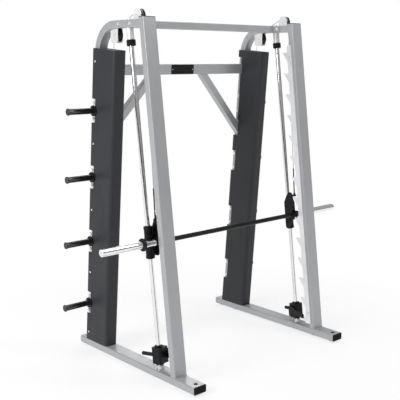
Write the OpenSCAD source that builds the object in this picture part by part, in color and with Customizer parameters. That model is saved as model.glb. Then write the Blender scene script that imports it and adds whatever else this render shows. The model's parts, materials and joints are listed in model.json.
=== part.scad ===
// Smith machine: two side frames with leaning guide rods, a counterbalanced
// bar on linear bearings, hooked rack plates, safety stops, weight storage
// horns and covered counterweights. Millimetres, +Z up, front is -Y,
// +X is the user's right. The origin is the middle of the footprint on the floor.

/* [Frame] */
// half spacing of the two side frames, to the middle of the guide rods
xc = 693; // [640:1:760]
// length of each floor rail, caps included
rail_len = 1278; // [1260:1:1340]
// width of the floor rails and front uprights
rail_w = 100; // [90:1:104]
// height of the floor rails and depth of the front uprights
rail_h = 50; // [46:1:50]
// height of the rubber feet
foot_h = 12; // [8:1:12]
// wall of the steel tubes
wall = 3; // [2:0.5:4]
// height of the top of the front uprights
top_z = 2350; // [2340:1:2400]
// lean of the front uprights and guide rods, degrees from upright
lean = 7; // [6.6:0.1:7.2]
// forward lean of the rear uprights, degrees
rear_lean = 5; // [4.6:0.1:5.2]
// centreline radius of the bend between rear upright and top tube
bend_r = 190; // [170:1:200]
// width of the bent rear tube
arch_w = 70; // [64:1:76]

/* [Bar] */
// overall length of the bar
bar_len = 2252; // [2100:1:2300]
// diameter of the bar between the carriages
bar_d = 32; // [28:1:32]
// diameter of the plate sleeves
sleeve_d = 50; // [49:0.5:50]
// diameter of the plate stop discs
disc_d = 86; // [70:1:100]
// diameter of the guide rods
rod_d = 30; // [24:1:30]

/* [Rack and hooks] */
// spacing of the rack teeth along the lean
pitch = 155.4; // [150:0.1:156]
// number of teeth on each rack plate
teeth = 14; // [8:1:14]
// turn of the bar from hooks clear to hooks in the rack, degrees
hook_turn = 82; // [82:1:90]
// turn of a safety stop from clear to in the rack, degrees
stop_turn = 10; // [9:1:12]

/* [Storage and covers] */
// diameter of the weight horns
horn_d = 42; // [38:1:48]
// distance of the horn tips from the middle of the machine
horn_x = 952; // [900:1:980]
// width of the counterweight covers
shroud_w = 100; // [94:1:100]
// depth of the counterweight covers
shroud_d = 246; // [230:1:250]
// thickness of the cover skin
skin = 3; // [2:0.5:3]

/* [Hidden] */
$fn = 48;
e = 0.05;
cl = 0.06;                        // running clearance on a radius
rz = foot_h + rail_h;             // top of the floor rails
rod_y = -243;                     // guide rod axis at the top of the rail
ry = 537;                         // rear upright axis at the top of the rail
tube_z = 2311;                    // middle of the top tube
tz0 = tube_z - 25;                // underside of the top tube
tz1 = tube_z + 25;                // top of the top tube
bz = tube_z - bend_r;             // bend centre height
by = ry - tan(rear_lean) * (bz - rz) - bend_r / cos(rear_lean);
up_y0 = -210.4;                   // front face of the uprights, leaning frame
up_y1 = up_y0 + rail_h;           // rear face of the uprights
bar_y = -74.4;                    // bar axis in the leaning frame
bar_z = 852.3;
rod_r = rod_d / 2;
bar_r = bar_d / 2;
tooth0 = bar_z - 16 - 5 * pitch;  // top of the lowest tooth
cable_x = xc - 9;                 // plane of the cable and its pulleys
cable_r = 2.5;
p1 = [-63, 2363];                 // top pulley axis, Y and Z
p2 = [176, 2243];                 // rear pulley axis
r1 = 34;                          // cable radius on the top pulley
r2 = 38;                          // cable radius on the rear pulley
horn_z = [286, 753, 1220, 1686];  // horn heights along the rear upright
sx = xc;                          // middle of the cover
weight_z0 = 1160;
weight_h = 200;
// anchor of the cable on the carriage, in the leaning frame and on the floor frame
an_y = bar_y;
an_z = bar_z + 152;
function lw(y, z) = [rod_y + y * cos(lean) + z * sin(lean), rz - y * sin(lean) + z * cos(lean)];
aw = lw(an_y, an_z);
// tangent from the anchor to the front of the top pulley
ad = [p1[0] - aw[0], p1[1] - aw[1]];
al = sqrt(ad[0] * ad[0] + ad[1] * ad[1]);
aa = atan2(ad[0], ad[1]);                    // direction to the pulley axis, from upright
ab = asin(r1 / al);
ca = aa - ab;                                // direction of the cable, from upright
tl = sqrt(al * al - r1 * r1);                // free length of the cable
tp = [aw[0] + tl * sin(ca), aw[1] + tl * cos(ca)];
// straight run between the two pulleys
pd = [p2[0] - p1[0], p2[1] - p1[1]];
pl = sqrt(pd[0] * pd[0] + pd[1] * pd[1]);
pa = atan2(pd[1], pd[0]);
pb = asin((r2 - r1) / pl);
na = pa + 90 + pb;                           // angle of the shared normal

// ---------- frames and shared shapes ----------
module both() { children(); mirror([1, 0, 0]) children(); }
module lf() { mirror([1, 0, 0]) children(); }
// leaning frame of the front uprights, rods and carriages
module fl() { translate([0, rod_y, rz]) rotate([-lean, 0, 0]) children(); }
// leaning frame of the rear uprights
module rl() { translate([0, ry, rz]) rotate([rear_lean, 0, 0]) children(); }
module above(z) { translate([-1500, -1500, z]) cube([3000, 3000, 4000]); }
module rr(w, h, r) {
  square([w - 2 * r, h], center = true);
  square([w, h - 2 * r], center = true);
  for (i = [-1, 1], j = [-1, 1]) translate([i * (w / 2 - r), j * (h / 2 - r)]) circle(r = r, $fn = 24);
}
module ring(w, h, r) { difference() { rr(w, h, r); rr(w - 2 * wall, h - 2 * wall, r - wall); } }
module rod(r, z0, z1) { translate([0, 0, z0]) cylinder(r = r, h = z1 - z0); }
module xrod(x0, x1, r) { translate([x0, 0, 0]) rotate([0, 90, 0]) cylinder(r = r, h = x1 - x0); }
module xplate(x0, x1, pts) { translate([x0, 0, 0]) rotate([90, 0, 90]) linear_extrude(x1 - x0) polygon(pts); }
module hexbolt(af, h) { cylinder(r = af / 2 / cos(30), h = h, $fn = 6); }

// ---------- frame ----------
module rail_slug() { translate([xc, 0, rz - rail_h / 2]) rotate([90, 0, 0]) linear_extrude(rail_len - 12, center = true) children(); }
module base_rails() color("silver") both() difference() {
  rail_slug() ring(rail_w, rail_h, 6);
  for (y = [-594, 594]) translate([xc, y, 0]) cylinder(r = 6.5, h = 100);
}
module cap_body(s, r) {
  translate([xc, s * (rail_len / 2 - 6), rz - rail_h / 2]) rotate([s > 0 ? -90 : 90, 0, 0]) {
    linear_extrude(6) rr(rail_w, rail_h, r);
    translate([0, 0, -24 + e]) linear_extrude(24 - e) rr(rail_w - 2 * wall - 0.6, rail_h - 2 * wall - 0.6, 3);
  }
}
module rail_front_caps() color("black") both() difference() {
  cap_body(-1, 6);
  for (z = [-15:7.5:15]) translate([xc, -rail_len / 2, rz - rail_h / 2 + z]) cube([rail_w - 20, 4, 2.4], center = true);
}
module rail_rear_caps() color("silver") both() cap_body(1, 12);
module rubber_feet() color("black") both() for (y = [-594, -423, 423, 594])
  translate([xc, y, 0]) difference() {
    union() { cylinder(r = 26, h = 5); translate([0, 0, 5]) cylinder(r1 = 26, r2 = 22, h = foot_h - 5 - e); }
    translate([0, 0, -1]) cylinder(r = 7, h = 20);
  }
module front_uprights() color("silver") both() difference() {
  fl() translate([xc, (up_y0 + up_y1) / 2, -80]) linear_extrude(2600) ring(rail_w, rail_h, 6);
  translate([-1500, -1500, -1000]) cube([3000, 3000, 1000 + rz]);
  above(top_z - 4);
}
module upright_top_caps() color("dimgray") both() intersection() {
  fl() translate([xc, (up_y0 + up_y1) / 2, 2000]) linear_extrude(700) rr(rail_w, rail_h, 6);
  translate([-1500, -1500, top_z - 4 + e]) cube([3000, 3000, 4 - e]);
}
module leg_seg(inner) {
  rl() translate([xc, 0, -60]) linear_extrude((bz - rz) / cos(rear_lean) + bend_r * tan(rear_lean) + 60 - e)
    rr(arch_w - 2 * inner, 50 - 2 * inner, 6 - inner);
}
module bend_seg(inner) {
  translate([xc, by, bz]) rotate([90, 0, 90]) rotate([0, 0, rear_lean])
    rotate_extrude(angle = 90 - rear_lean, $fn = 96) translate([bend_r, 0]) rr(50 - 2 * inner, arch_w - 2 * inner, 6 - inner);
}
module top_seg(inner) {
  translate([xc, by, tube_z]) rotate([90, 0, 0]) linear_extrude(by + 240) rr(arch_w - 2 * inner, 50 - 2 * inner, 6 - inner);
}
module arch_cuts() {
  translate([-1500, -1500, -1000]) cube([3000, 3000, 1000 + rz]);
  // the front end fits the leaning upright
  fl() translate([xc - 200, up_y1 - 400, 1800]) cube([400, 400, 1200]);
  // stud of the guide rod, bolts of the cross tube, slots for pulleys and cable
  translate([xc, 36, tz0 - 5]) cylinder(r = 6.6, h = 60);
  translate([cable_x - 16.8, p1[0] - 44, tz1 - 10]) cube([33.6, 88, 30]);
  translate([cable_x - 6, -122, tz0 - 10]) cube([12, 52, 30]);
  translate([cable_x - 6, 50, tz1 - 10]) cube([12, 46, 30]);
  translate([cable_x - 6, 146, tz0 - 12]) cube([12, 46, 24]);
}
module rear_uprights() color("silver") both() difference() {
  leg_seg(0);
  leg_seg(wall);
  translate([-1500, -1500, -1000]) cube([3000, 3000, 1000 + rz]);
}
module rear_arch_tubes() color("silver") both() {
  difference() { bend_seg(0); bend_seg(wall); arch_cuts(); }
  difference() { top_seg(0); top_seg(wall); arch_cuts(); }
}
module top_cross_tube() color("silver") {
  difference() {
    translate([-(xc - arch_w / 2 - 6), 45, tube_z]) rotate([90, 0, 90]) linear_extrude(2 * (xc - arch_w / 2 - 6)) ring(50, 50, 5);
  }
  both() translate([xc - arch_w / 2 - 6, 0, 0]) difference() {
    translate([0, -36, tz0 + 2]) cube([6 - e, 162, 46]);
    for (y = [-16, 106]) translate([-1, y, tube_z]) rotate([0, 90, 0]) cylinder(r = 5.5, h = 10);
  }
}
module cross_tube_bolts() color("gainsboro") both() for (y = [-16, 106])
  translate([xc - arch_w / 2 - 6, y, tube_z]) rotate([0, -90, 0]) { hexbolt(16, 7); cylinder(r = 11, h = 1.5); }
module rear_cross_tube() color("silver") rl()
  translate([-(xc - arch_w / 2 - e), 0, 1963.5]) rotate([90, 0, 90]) linear_extrude(2 * (xc - arch_w / 2 - e)) ring(50, 75, 6);
module brace_poly(t) {
  k = tan(47); h = (25 - t) / sin(47); x1 = xc - arch_w / 2 - e; z0 = 1926 - e;
  xplate2([[240 - h, z0], [240 + h, z0], [x1, z0 - (x1 - 240 - h) * k], [x1, z0 - (x1 - 240 + h) * k]], 50 - 2 * t);
}
module xplate2(pts, w) { translate([0, w / 2, 0]) rotate([90, 0, 0]) linear_extrude(w) polygon(pts); }
module corner_braces() color("silver") both() rl() difference() { brace_poly(0); brace_poly(wall); }
module name_plate() color("black") rl() translate([20, -25.05, 1963.5]) rotate([90, 0, 0]) difference() {
  linear_extrude(2.5) rr(216, 70, 4);
  translate([0, 0, 1.6]) linear_extrude(2) difference() { rr(206, 60, 3); rr(200, 54, 2); }
}

// ---------- racks and guide rods ----------
function tooth_pts(t) = [[-145, t - 75], [-106, t - 10], [-106, t], [-112, t], [-116, t - 5], [-145, t - 5]];
module rack_plates() color("gainsboro") both() fl() difference() {
  xplate(xc - rail_w / 2 - 8, xc - rail_w / 2 - e,
    concat([for (i = [0:teeth - 1], p = tooth_pts(tooth0 + i * pitch)) [p[0], max(p[1], 14 + (p[0] > -140 ? 0 : 0))]],
      [[-145, tooth0 + (teeth - 1) * pitch + 30], [-152, tooth0 + (teeth - 1) * pitch + 44], [-186, tooth0 + (teeth - 1) * pitch + 44], [-186, 14]]));
  for (i = [0:6]) translate([xc - rail_w / 2 - 20, -173, 100 + i * 320]) rotate([0, 90, 0]) cylinder(r = 5.2, h = 30);
}
module rack_bolts() color("silver") both() fl() for (i = [0:6])
  translate([xc - rail_w / 2 - 8 - e, -173, 100 + i * 320]) rotate([0, -90, 0]) { cylinder(r1 = 9, r2 = 6.5, h = 5); }
module guide_rods() color("gainsboro") both() intersection() {
  fl() translate([xc, 0, -20]) cylinder(r = rod_r, h = 2400);
  translate([0, -1500, rz + e]) cube([3000, 3000, tz0 - rz - 2 * e]);
}
module rod_feet() color("silver") both() difference() {
  fl() translate([xc, 0, -20]) cylinder(r = 25, h = 40);
  fl() translate([xc, 0, -30]) cylinder(r = rod_r + 0.02, h = 60);
  translate([-1500, -1500, -1000]) cube([3000, 3000, 1000 + rz + e]);
}
module rod_top_holders() color("silver") both() difference() {
  fl() translate([xc, 0, 2164]) {
    cylinder(r = 22, h = 140);
    for (i = [0:9]) translate([0, 0, 2 + i * 7]) { cylinder(r1 = 22, r2 = 25, h = 1.8); translate([0, 0, 1.8]) cylinder(r = 25, h = 2); translate([0, 0, 3.8]) cylinder(r1 = 25, r2 = 22, h = 1.2); }
  }
  fl() translate([xc, 0, 2100]) cylinder(r = rod_r + 0.02, h = 300);
  above(tz0 - e);
}
module rod_top_bumpers() color("black") both() fl() translate([xc, 0, 0]) difference() {
  union() { rod(30, 2129, 2159); translate([0, 0, 2125]) cylinder(r1 = 26, r2 = 30, h = 4); translate([0, 0, 2159]) cylinder(r1 = 30, r2 = 27, h = 4.5); }
  rod(rod_r + 0.02, 2100, 2200);
}
module rod_top_nuts() color("gainsboro") both() translate([xc, 36, 0]) {
  rod(6, tz0 + e, tz1 + 11);
  difference() { translate([0, 0, tz1 + e]) { cylinder(r = 12, h = 1.8); translate([0, 0, 1.8]) hexbolt(18.5, 7); } rod(6.02, tz1 - 5, tz1 + 30); }
}

// ---------- counterweight covers ----------
module cover2(w, y0, y1, r) {
  translate([-w / 2, y0 + r]) square([w, y1 - y0 - r]);
  translate([-w / 2 + r, y0]) square([w - 2 * r, r + 1]);
  for (s = [-1, 1]) translate([s * (w / 2 - r), y0 + r]) circle(r = r, $fn = 32);
}
sh_y1 = 22;
sh_y0 = sh_y1 - shroud_d;
sh_top = 2108;
module shrouds() color("dimgray") both() difference() {
  rl() translate([sx, 0, -60]) linear_extrude(sh_top + 60) difference() {
    cover2(shroud_w, sh_y0, sh_y1, 25);
    cover2(shroud_w - 2 * skin, sh_y0 + skin, sh_y1 + 30, 22);
  }
  translate([-1500, -1500, -1000]) cube([3000, 3000, 1000.4 + rz]);
  // notches for the horn plates and their nuts
  rl() for (z = horn_z) {
    translate([sx + shroud_w / 2 - skin - 5, -16, z - 82]) cube([20, 80, 164]);
    translate([sx - shroud_w / 2 - 5, -16, z - 82]) cube([skin + 7, 80, 164]);
    translate([0, 0, z]) xrod(sx + shroud_w / 2 - skin - 5, sx + shroud_w / 2 + 10, horn_d / 2 + 2);
  }
  // the inner wall stands back where the cross tube and brace arrive
  rl() translate([sx - shroud_w / 2 - 5, -12, 1444]) cube([skin + 7, 80, 609]);
  rl() translate([sx - shroud_w / 2 - 5, -26.5, 1925]) cube([skin + 7, 80, 77]);
  rl() translate([sx - shroud_w / 2 - 5, -26.5, 1430]) cube([skin + 7, 80, 124]);
}
module shroud_top_caps() color("dimgray") both() rl() difference() {
  translate([sx, 0, sh_top - 14]) linear_extrude(10) cover2(shroud_w - 2 * skin - 0.4, sh_y0 + skin + 0.2, -29, 21.8);
  translate([cable_x - 7, p2r - 12, sh_top - 20]) cube([14, 24, 30]);
}
p2r = (p2[0] - ry) * cos(rear_lean) + (p2[1] - rz) * sin(rear_lean) + r2;
p2z = -(p2[0] - ry) * sin(rear_lean) + (p2[1] - rz) * cos(rear_lean);
module shroud_screws() color("silver") both() rl() for (z = [60, 520, 986, 1458, 2020])
  translate([sx + shroud_w / 2 + e, -5, z]) rotate([0, 90, 0]) { cylinder(r1 = 7, r2 = 5, h = 3); }
module counterweight_guide_rods() color("silver") both() intersection() {
  rl() translate([xc + 17, p2r, -20]) cylinder(r = 8, h = sh_top - 14 + 20 - e);
  above(rz + e);
}
module weight_r() rl() difference() {
  translate([xc - 38, p2r - 50, weight_z0]) cube([76, 100, weight_h]);
  translate([xc + 17, p2r, weight_z0 - 1]) cylinder(r = 8 + cl, h = weight_h + 2);
  for (i = [1:4]) translate([xc - 39, p2r - 51, weight_z0 + i * 40 - 1]) difference() { cube([78, 102, 2]); translate([2.5, 2.5, -1]) cube([73, 97, 4]); }
}
module counterweight_left() color("dimgray") lf() weight_r();
module counterweight_right() color("dimgray") weight_r();
module cable_rear_r() rl() translate([cable_x, p2r, weight_z0 + weight_h + e]) cylinder(r = cable_r, h = p2z - weight_z0 - weight_h - e, $fn = 12);
module cable_rear_left() color("silver") lf() cable_rear_r();
module cable_rear_right() color("silver") cable_rear_r();

// ---------- weight horns ----------
module at_horns() both() rl() for (z = horn_z) translate([0, 0, z]) children();
hx = xc + arch_w / 2;
module horn_plates() color("silver") at_horns() difference() {
  translate([hx + e, -15, -80]) cube([10, 36, 160]);
  for (z = [-57, 57]) translate([hx - 5, 2, z]) rotate([0, 90, 0]) cylinder(r = 6.2, h = 30);
}
module horn_bolts() color("gainsboro") at_horns() for (z = [-57, 57]) {
  translate([hx + 10 + 2 * e, 2, z]) rotate([0, 90, 0]) { cylinder(r = 12, h = 2); translate([0, 0, 2]) hexbolt(19, 8); }
  translate([xc - arch_w / 2 - e, 2, z]) rotate([0, -90, 0]) { cylinder(r = 12, h = 2); translate([0, 0, 2]) hexbolt(19, 9); }
}
module horn_tubes() color("black") at_horns() difference() {
  xrod(hx + 10 + 2 * e, horn_x - 8 - e, horn_d / 2);
  xrod(hx + 30, horn_x, horn_d / 2 - 4);
}
module horn_flanges() color("silver") at_horns() difference() { xrod(hx + 16, hx + 22, 37.5); xrod(hx, hx + 40, horn_d / 2 + 0.02); }
module horn_end_caps() color("black") at_horns() {
  xrod(horn_x - 8, horn_x - 2, 24.5);
  translate([horn_x - 2, 0, 0]) rotate([0, 90, 0]) cylinder(r1 = 24.5, r2 = 22, h = 2);
  xrod(horn_x - 26, horn_x - 8 + e, horn_d / 2 - 4.2);
}

// ---------- pulleys and cable ----------
module pulley(ro, rc, w) rotate([0, 90, 0]) rotate_extrude() {
  g = rc - cable_r - 0.3;
  difference() {
    translate([5 + cl, -w / 2]) square([ro - 5 - cl, w]);
    polygon([[ro + 1, -9], [ro, -8.5], [g, -3.4], [g, 3.4], [ro, 8.5], [ro + 1, 9]]);
    translate([13, w / 2 - 5]) square([9, 6]);
    translate([13, -w / 2 - 1]) square([9, 6]);
  }
}
module pulley_top_right() color("black") translate([cable_x, p1[0], p1[1]]) pulley(38, r1, 32);
module pulley_top_left() color("black") lf() translate([cable_x, p1[0], p1[1]]) pulley(38, r1, 32);
module pulley_rear_right() color("black") translate([cable_x, p2[0], p2[1]]) pulley(42, r2, 32);
module pulley_rear_left() color("black") lf() translate([cable_x, p2[0], p2[1]]) pulley(42, r2, 32);
module ear(x) translate([x, 0, 0]) {
  // top ear: an arch on the tube
  difference() {
    translate([0, p1[0], 0]) rotate([90, 0, 90]) linear_extrude(4) {
      translate([0, p1[1]]) circle(r = 40);
      translate([-40, tz1 + e]) square([80, p1[1] - tz1]);
    }
    translate([-1, p1[0], p1[1]]) rotate([0, 90, 0]) cylinder(r = 5.02, h = 8);
    translate([-1, p1[0] - 60, tz1 - 60 + e]) cube([6, 120, 60]);
  }
}
module ear_rear(x) translate([x, 0, 0]) difference() {
  translate([0, p2[0], p2[1]]) rotate([90, 0, 90]) linear_extrude(4) {
    translate([-30, -34]) square([80, 94]);
    translate([-14, -50]) square([48, 30]);
    for (y = [-14, 34]) translate([y, -34]) circle(r = 16, $fn = 32);
  }
  translate([-1, p2[0], p2[1]]) rotate([0, 90, 0]) cylinder(r = 5.02, h = 8);
}
module pulley_brackets() color("gainsboro") both() {
  ear(cable_x - 21);
  ear(cable_x + 17);
  difference() {
    union() { ear_rear(cable_x - 21); ear_rear(cable_x + 17); }
    bend_seg(-0.1);
    top_seg(-0.1);
    translate([xc - 100, by, bz]) rotate([0, 90, 0]) difference() { cylinder(r = 400, h = 300); translate([0, 0, -1]) cylinder(r = bend_r - 25, h = 302); translate([-50, -401, -1]) cube([451, 802, 302]); }
    above(tz0 - 0.1);
  }
}
module pulley_axle_bolts() color("gainsboro") both() for (p = [p1, p2]) translate([0, p[0], p[1]]) {
  xrod(cable_x - 21 - e, cable_x + 21 + e, 5);
  translate([cable_x - 21 - e, 0, 0]) rotate([0, -90, 0]) { cylinder(r = 9, h = 1.5); hexbolt(15, 6); }
  translate([cable_x + 21 + e, 0, 0]) rotate([0, 90, 0]) { cylinder(r = 9, h = 1.5); hexbolt(15, 6); }
}
module arc(c, r, a0, a1) translate([cable_x, c[0], c[1]]) rotate([90, 0, 90]) rotate([0, 0, a0]) rotate_extrude(angle = a1 - a0) translate([r, 0]) circle(r = cable_r, $fn = 12);
module cable_wraps() color("silver") both() {
  arc(p1, r1, na, 180 - ca);
  arc(p2, r2, rear_lean, na);
  translate([cable_x, p1[0] + r1 * cos(na), p1[1] + r1 * sin(na)]) rotate([na - 180, 0, 0]) rod12(0, pl * cos(pb));
}
module cable_front_runs() color("silver") both() translate([cable_x, aw[0], aw[1]]) rotate([-ca, 0, 0]) {
  rod12(52, tl - e);
  translate([0, 0, 52]) cylinder(r = 4.6, h = 148);
}
module rod12(z0, z1) translate([0, 0, z0]) cylinder(r = cable_r, h = z1 - z0, $fn = 12);

// ---------- carriages ----------
module cable_end_fittings() color("black") both() translate([cable_x, aw[0], aw[1]]) rotate([-ca, 0, 0]) {
  translate([0, 0, 0.8]) cylinder(r = 5, h = 39.2);
  translate([0, 0, 40]) cylinder(r1 = 5, r2 = 3.4, h = 12 - e);
  translate([0, 0, 0.8]) hexbolt(15, 9);
}
module carriage_housings() color("black") both() fl() translate([xc, 0, 0]) difference() {
  union() { rod(28.5, bar_z - 108, bar_z + 100); for (z = [-110, 82]) rod(30, bar_z + z, bar_z + z + 20); rod(30, bar_z - 34, bar_z + 34); }
  rod(22, bar_z - 120, bar_z + 120);
}
module linear_bearings() color("silver") both() fl() translate([xc, 0, 0]) for (z = [-108, 30]) difference() {
  rod(21.95, bar_z + z, bar_z + z + 70);
  rod(rod_r + cl, bar_z + z - 1, bar_z + z + 71);
  for (i = [8, 60]) translate([0, 0, bar_z + z + i]) difference() { cylinder(r = 23, h = 2); cylinder(r = 21, h = 2); }
}
module carriage_brackets() color("black") both() fl() difference() {
  union() {
    // side plate, tapering up to the cable
    translate([0, bar_y, bar_z]) xplate(xc - 45, xc - 37, [[-22, -30], [-22, 96], [-10, 122], [-6, 152], [2, 168], [14, 172], [30, 172], [56, 138], [78, 96], [78, -96], [40, -96], [6, -44]]);
    // bearing block for the bar
    translate([xc - 43, bar_y - 24, bar_z - 30]) cube([26, 60, 60]);
    // spacer to the housing
    translate([xc - 38, -20, bar_z - 80]) cube([16, 24, 160]);
    // ear that holds the cable end
    translate([xc - 38, bar_y - 9, bar_z + 138]) cube([40, 18, 14]);
  }
  translate([xc, 0, 0]) rod(30 + e, bar_z - 140, bar_z + 140);
  translate([0, bar_y, bar_z]) xrod(xc - 60, xc, bar_r + cl);
}

// ---------- bar ----------
module at_bar() { w = lw(bar_y, bar_z); translate([0, w[0], w[1]]) children(); }
col0 = xc + 12;                   // inner end of the chrome collar
col1 = xc + 77;                   // outer end of the collar
disc_x = xc + 106;
module bar_shaft() color("black") at_bar() {
  xrod(-col0, col0, bar_r);
  both() xrod(col0 - e, bar_len / 2 - 10, 15);
}
module bar_collars() color("gainsboro") at_bar() both() difference() {
  union() { xrod(col0 + 0.2, col1, 20); xrod(col0 + 0.2, col0 + 12, 21.5); xrod(col1 - 14, col1, 21.5); }
  xrod(col0 - 5, col1 + 5, 15.02);
}
// the hook in the rack position, bar axis at the origin
module hook2() {
  difference() {
    union() {
      circle(r = 25);
      polygon([[-10, -23], [-24, -8], [-41, -9], [-45, -20], [-58, -20], [-60, -4], [-58, 12], [-40, 24], [-8, 24]]);
    }
    circle(r = bar_r + 0.02);
  }
}
module bar_hooks() color("black") at_bar() both() rotate([-hook_turn - lean, 0, 0])
  translate([xc - 63, 0, 0]) rotate([90, 0, 90]) linear_extrude(15) hook2();
module sleeve_r() at_bar() difference() {
  union() { xrod(col1 + 1.5, disc_x - e, 22.5); xrod(disc_x + 10 + e, bar_len / 2 - 6 - e, sleeve_d / 2); xrod(disc_x - 1, disc_x + 11, 20); }
  xrod(col1, bar_len / 2 - 12, 15 + cl);
  xrod(bar_len / 2 - 20, bar_len / 2, 18);
}
module disc_r() at_bar() difference() {
  union() { xrod(disc_x, disc_x + 10, disc_d / 2 - 2); xrod(disc_x + 2, disc_x + 8, disc_d / 2); }
  xrod(disc_x - 5, disc_x + 15, 20.02);
}
module scap_r() at_bar() { xrod(bar_len / 2 - 6, bar_len / 2 - 1.5, 24); translate([bar_len / 2 - 1.5, 0, 0]) rotate([0, 90, 0]) cylinder(r1 = 24, r2 = 22, h = 1.5); xrod(bar_len / 2 - 9, bar_len / 2 - 6 + e, 17.9); }
module sleeve_right() color("gainsboro") sleeve_r();
module sleeve_left() color("gainsboro") lf() sleeve_r();
module sleeve_disc_right() color("black") disc_r();
module sleeve_disc_left() color("black") lf() disc_r();
module sleeve_cap_right() color("gainsboro") scap_r();
module sleeve_cap_left() color("gainsboro") lf() scap_r();

// ---------- safety stops ----------
module stop_sleeve_r() fl() translate([xc, 0, 0]) difference() {
  union() { rod(24, 27, 150); rod(28, 27, 36); rod(28, 146, 152); translate([0, 0, 152]) cylinder(r1 = 28, r2 = 25, h = 4); }
  rod(rod_r + cl, 20, 170);
}
module stop_hook_r() fl() translate([xc, 0, 0]) rotate([0, 0, -stop_turn]) difference() {
  union() {
    translate([-42, -40, 36.5]) cube([79, 78, 109]);
    // arm and nose reaching for the rack
    translate([-59, 0, 0]) xplate(0, 18, [[22, 50], [22, 128], [-20, 128], [-60, 108], [-104, 98], [-139, 84], [-141, 70], [-139, 55.2], [-127, 55.2], [-123, 62], [-30, 62], [-10, 50]]);
  }
  rod(24 + cl, 20, 160);
  // corners taken off
  for (x = [-42, 37]) translate([x, 38, 30]) rotate([0, 0, 45]) cube([12, 12, 240], center = true);
  translate([37, -40, 30]) rotate([0, 0, 45]) cube([12, 12, 240], center = true);
  translate([6, 20, 88]) rotate([-90, 0, 0]) cylinder(r = 7.02, h = 40);
}
module stop_grip_r() fl() translate([xc, 0, 0]) rotate([0, 0, -stop_turn]) translate([6, 0, 88]) rotate([-90, 0, 0]) {
  translate([0, 0, 29]) cylinder(r = 7, h = 20);
  translate([0, 0, 48]) cylinder(r = 13, h = 90);
  translate([0, 0, 138]) cylinder(r1 = 13, r2 = 8, h = 8);
}
module stop_sleeve_right() color("black") stop_sleeve_r();
module stop_sleeve_left() color("black") lf() stop_sleeve_r();
module stop_hook_right() color("black") stop_hook_r();
module stop_hook_left() color("black") lf() stop_hook_r();
module stop_grip_right() color("black") stop_grip_r();
module stop_grip_left() color("black") lf() stop_grip_r();

base_rails();
rail_front_caps();
rail_rear_caps();
rubber_feet();
front_uprights();
upright_top_caps();
rear_uprights();
rear_arch_tubes();
top_cross_tube();
cross_tube_bolts();
rear_cross_tube();
corner_braces();
name_plate();
rack_plates();
rack_bolts();
guide_rods();
rod_feet();
rod_top_holders();
rod_top_bumpers();
rod_top_nuts();
shrouds();
shroud_top_caps();
shroud_screws();
horn_plates();
horn_bolts();
horn_tubes();
horn_flanges();
horn_end_caps();
pulley_brackets();
pulley_axle_bolts();
pulley_top_left();
pulley_top_right();
pulley_rear_left();
pulley_rear_right();
counterweight_guide_rods();
counterweight_left();
counterweight_right();
cable_rear_left();
cable_rear_right();
cable_front_runs();
cable_wraps();
cable_end_fittings();
carriage_housings();
carriage_brackets();
linear_bearings();
bar_shaft();
bar_collars();
bar_hooks();
sleeve_left();
sleeve_right();
sleeve_disc_left();
sleeve_disc_right();
sleeve_cap_left();
sleeve_cap_right();
stop_sleeve_left();
stop_sleeve_right();
stop_hook_left();
stop_hook_right();
stop_grip_left();
stop_grip_right();
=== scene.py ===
import json
import math

import bmesh
import bpy
from mathutils import Matrix, Vector

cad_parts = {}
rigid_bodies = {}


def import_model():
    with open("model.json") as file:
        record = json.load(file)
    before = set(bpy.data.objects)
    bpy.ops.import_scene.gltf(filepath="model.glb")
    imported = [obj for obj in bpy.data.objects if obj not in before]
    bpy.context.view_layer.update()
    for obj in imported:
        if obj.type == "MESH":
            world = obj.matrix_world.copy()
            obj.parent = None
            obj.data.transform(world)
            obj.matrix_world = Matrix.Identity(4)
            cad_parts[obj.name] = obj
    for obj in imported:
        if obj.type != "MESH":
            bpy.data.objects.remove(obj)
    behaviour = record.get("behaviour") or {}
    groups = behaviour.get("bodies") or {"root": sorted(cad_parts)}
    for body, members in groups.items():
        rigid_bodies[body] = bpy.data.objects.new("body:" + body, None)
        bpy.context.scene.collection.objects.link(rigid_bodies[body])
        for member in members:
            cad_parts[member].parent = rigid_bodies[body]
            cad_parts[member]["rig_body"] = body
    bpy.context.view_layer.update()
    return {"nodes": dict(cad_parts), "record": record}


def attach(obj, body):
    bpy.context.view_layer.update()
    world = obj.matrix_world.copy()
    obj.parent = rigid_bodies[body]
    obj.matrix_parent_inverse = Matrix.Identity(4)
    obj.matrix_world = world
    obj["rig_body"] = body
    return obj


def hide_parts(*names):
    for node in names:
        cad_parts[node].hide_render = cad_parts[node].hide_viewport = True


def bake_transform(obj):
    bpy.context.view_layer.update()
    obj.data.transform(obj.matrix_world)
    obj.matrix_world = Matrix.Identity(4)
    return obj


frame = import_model()
N = frame["nodes"]
SLOT = {s["node"]: s["material_slot"] for s in frame["record"]["subparts"]}
scene = bpy.context.scene
rad = math.radians

# ---------------------------------------------------------------- camera
yaw, pitch, roll = rad(42.11), rad(10.29), rad(-0.09)
fwd = Vector((math.sin(yaw) * math.cos(pitch), math.cos(yaw) * math.cos(pitch), -math.sin(pitch)))
cd = bpy.data.cameras.new("camera")
cam = bpy.data.objects.new("camera", cd)
scene.collection.objects.link(cam)
cd.sensor_width = 36
cd.lens = 68.37
cd.clip_start, cd.clip_end = 0.05, 100
cam.location = (-3.7057, -3.9711, 2.0685)
cam.rotation_mode = "QUATERNION"
cam.rotation_quaternion = fwd.to_track_quat("-Z", "Y") @ Matrix.Rotation(roll, 4, "Z").to_quaternion()
scene.camera = cam

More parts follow.
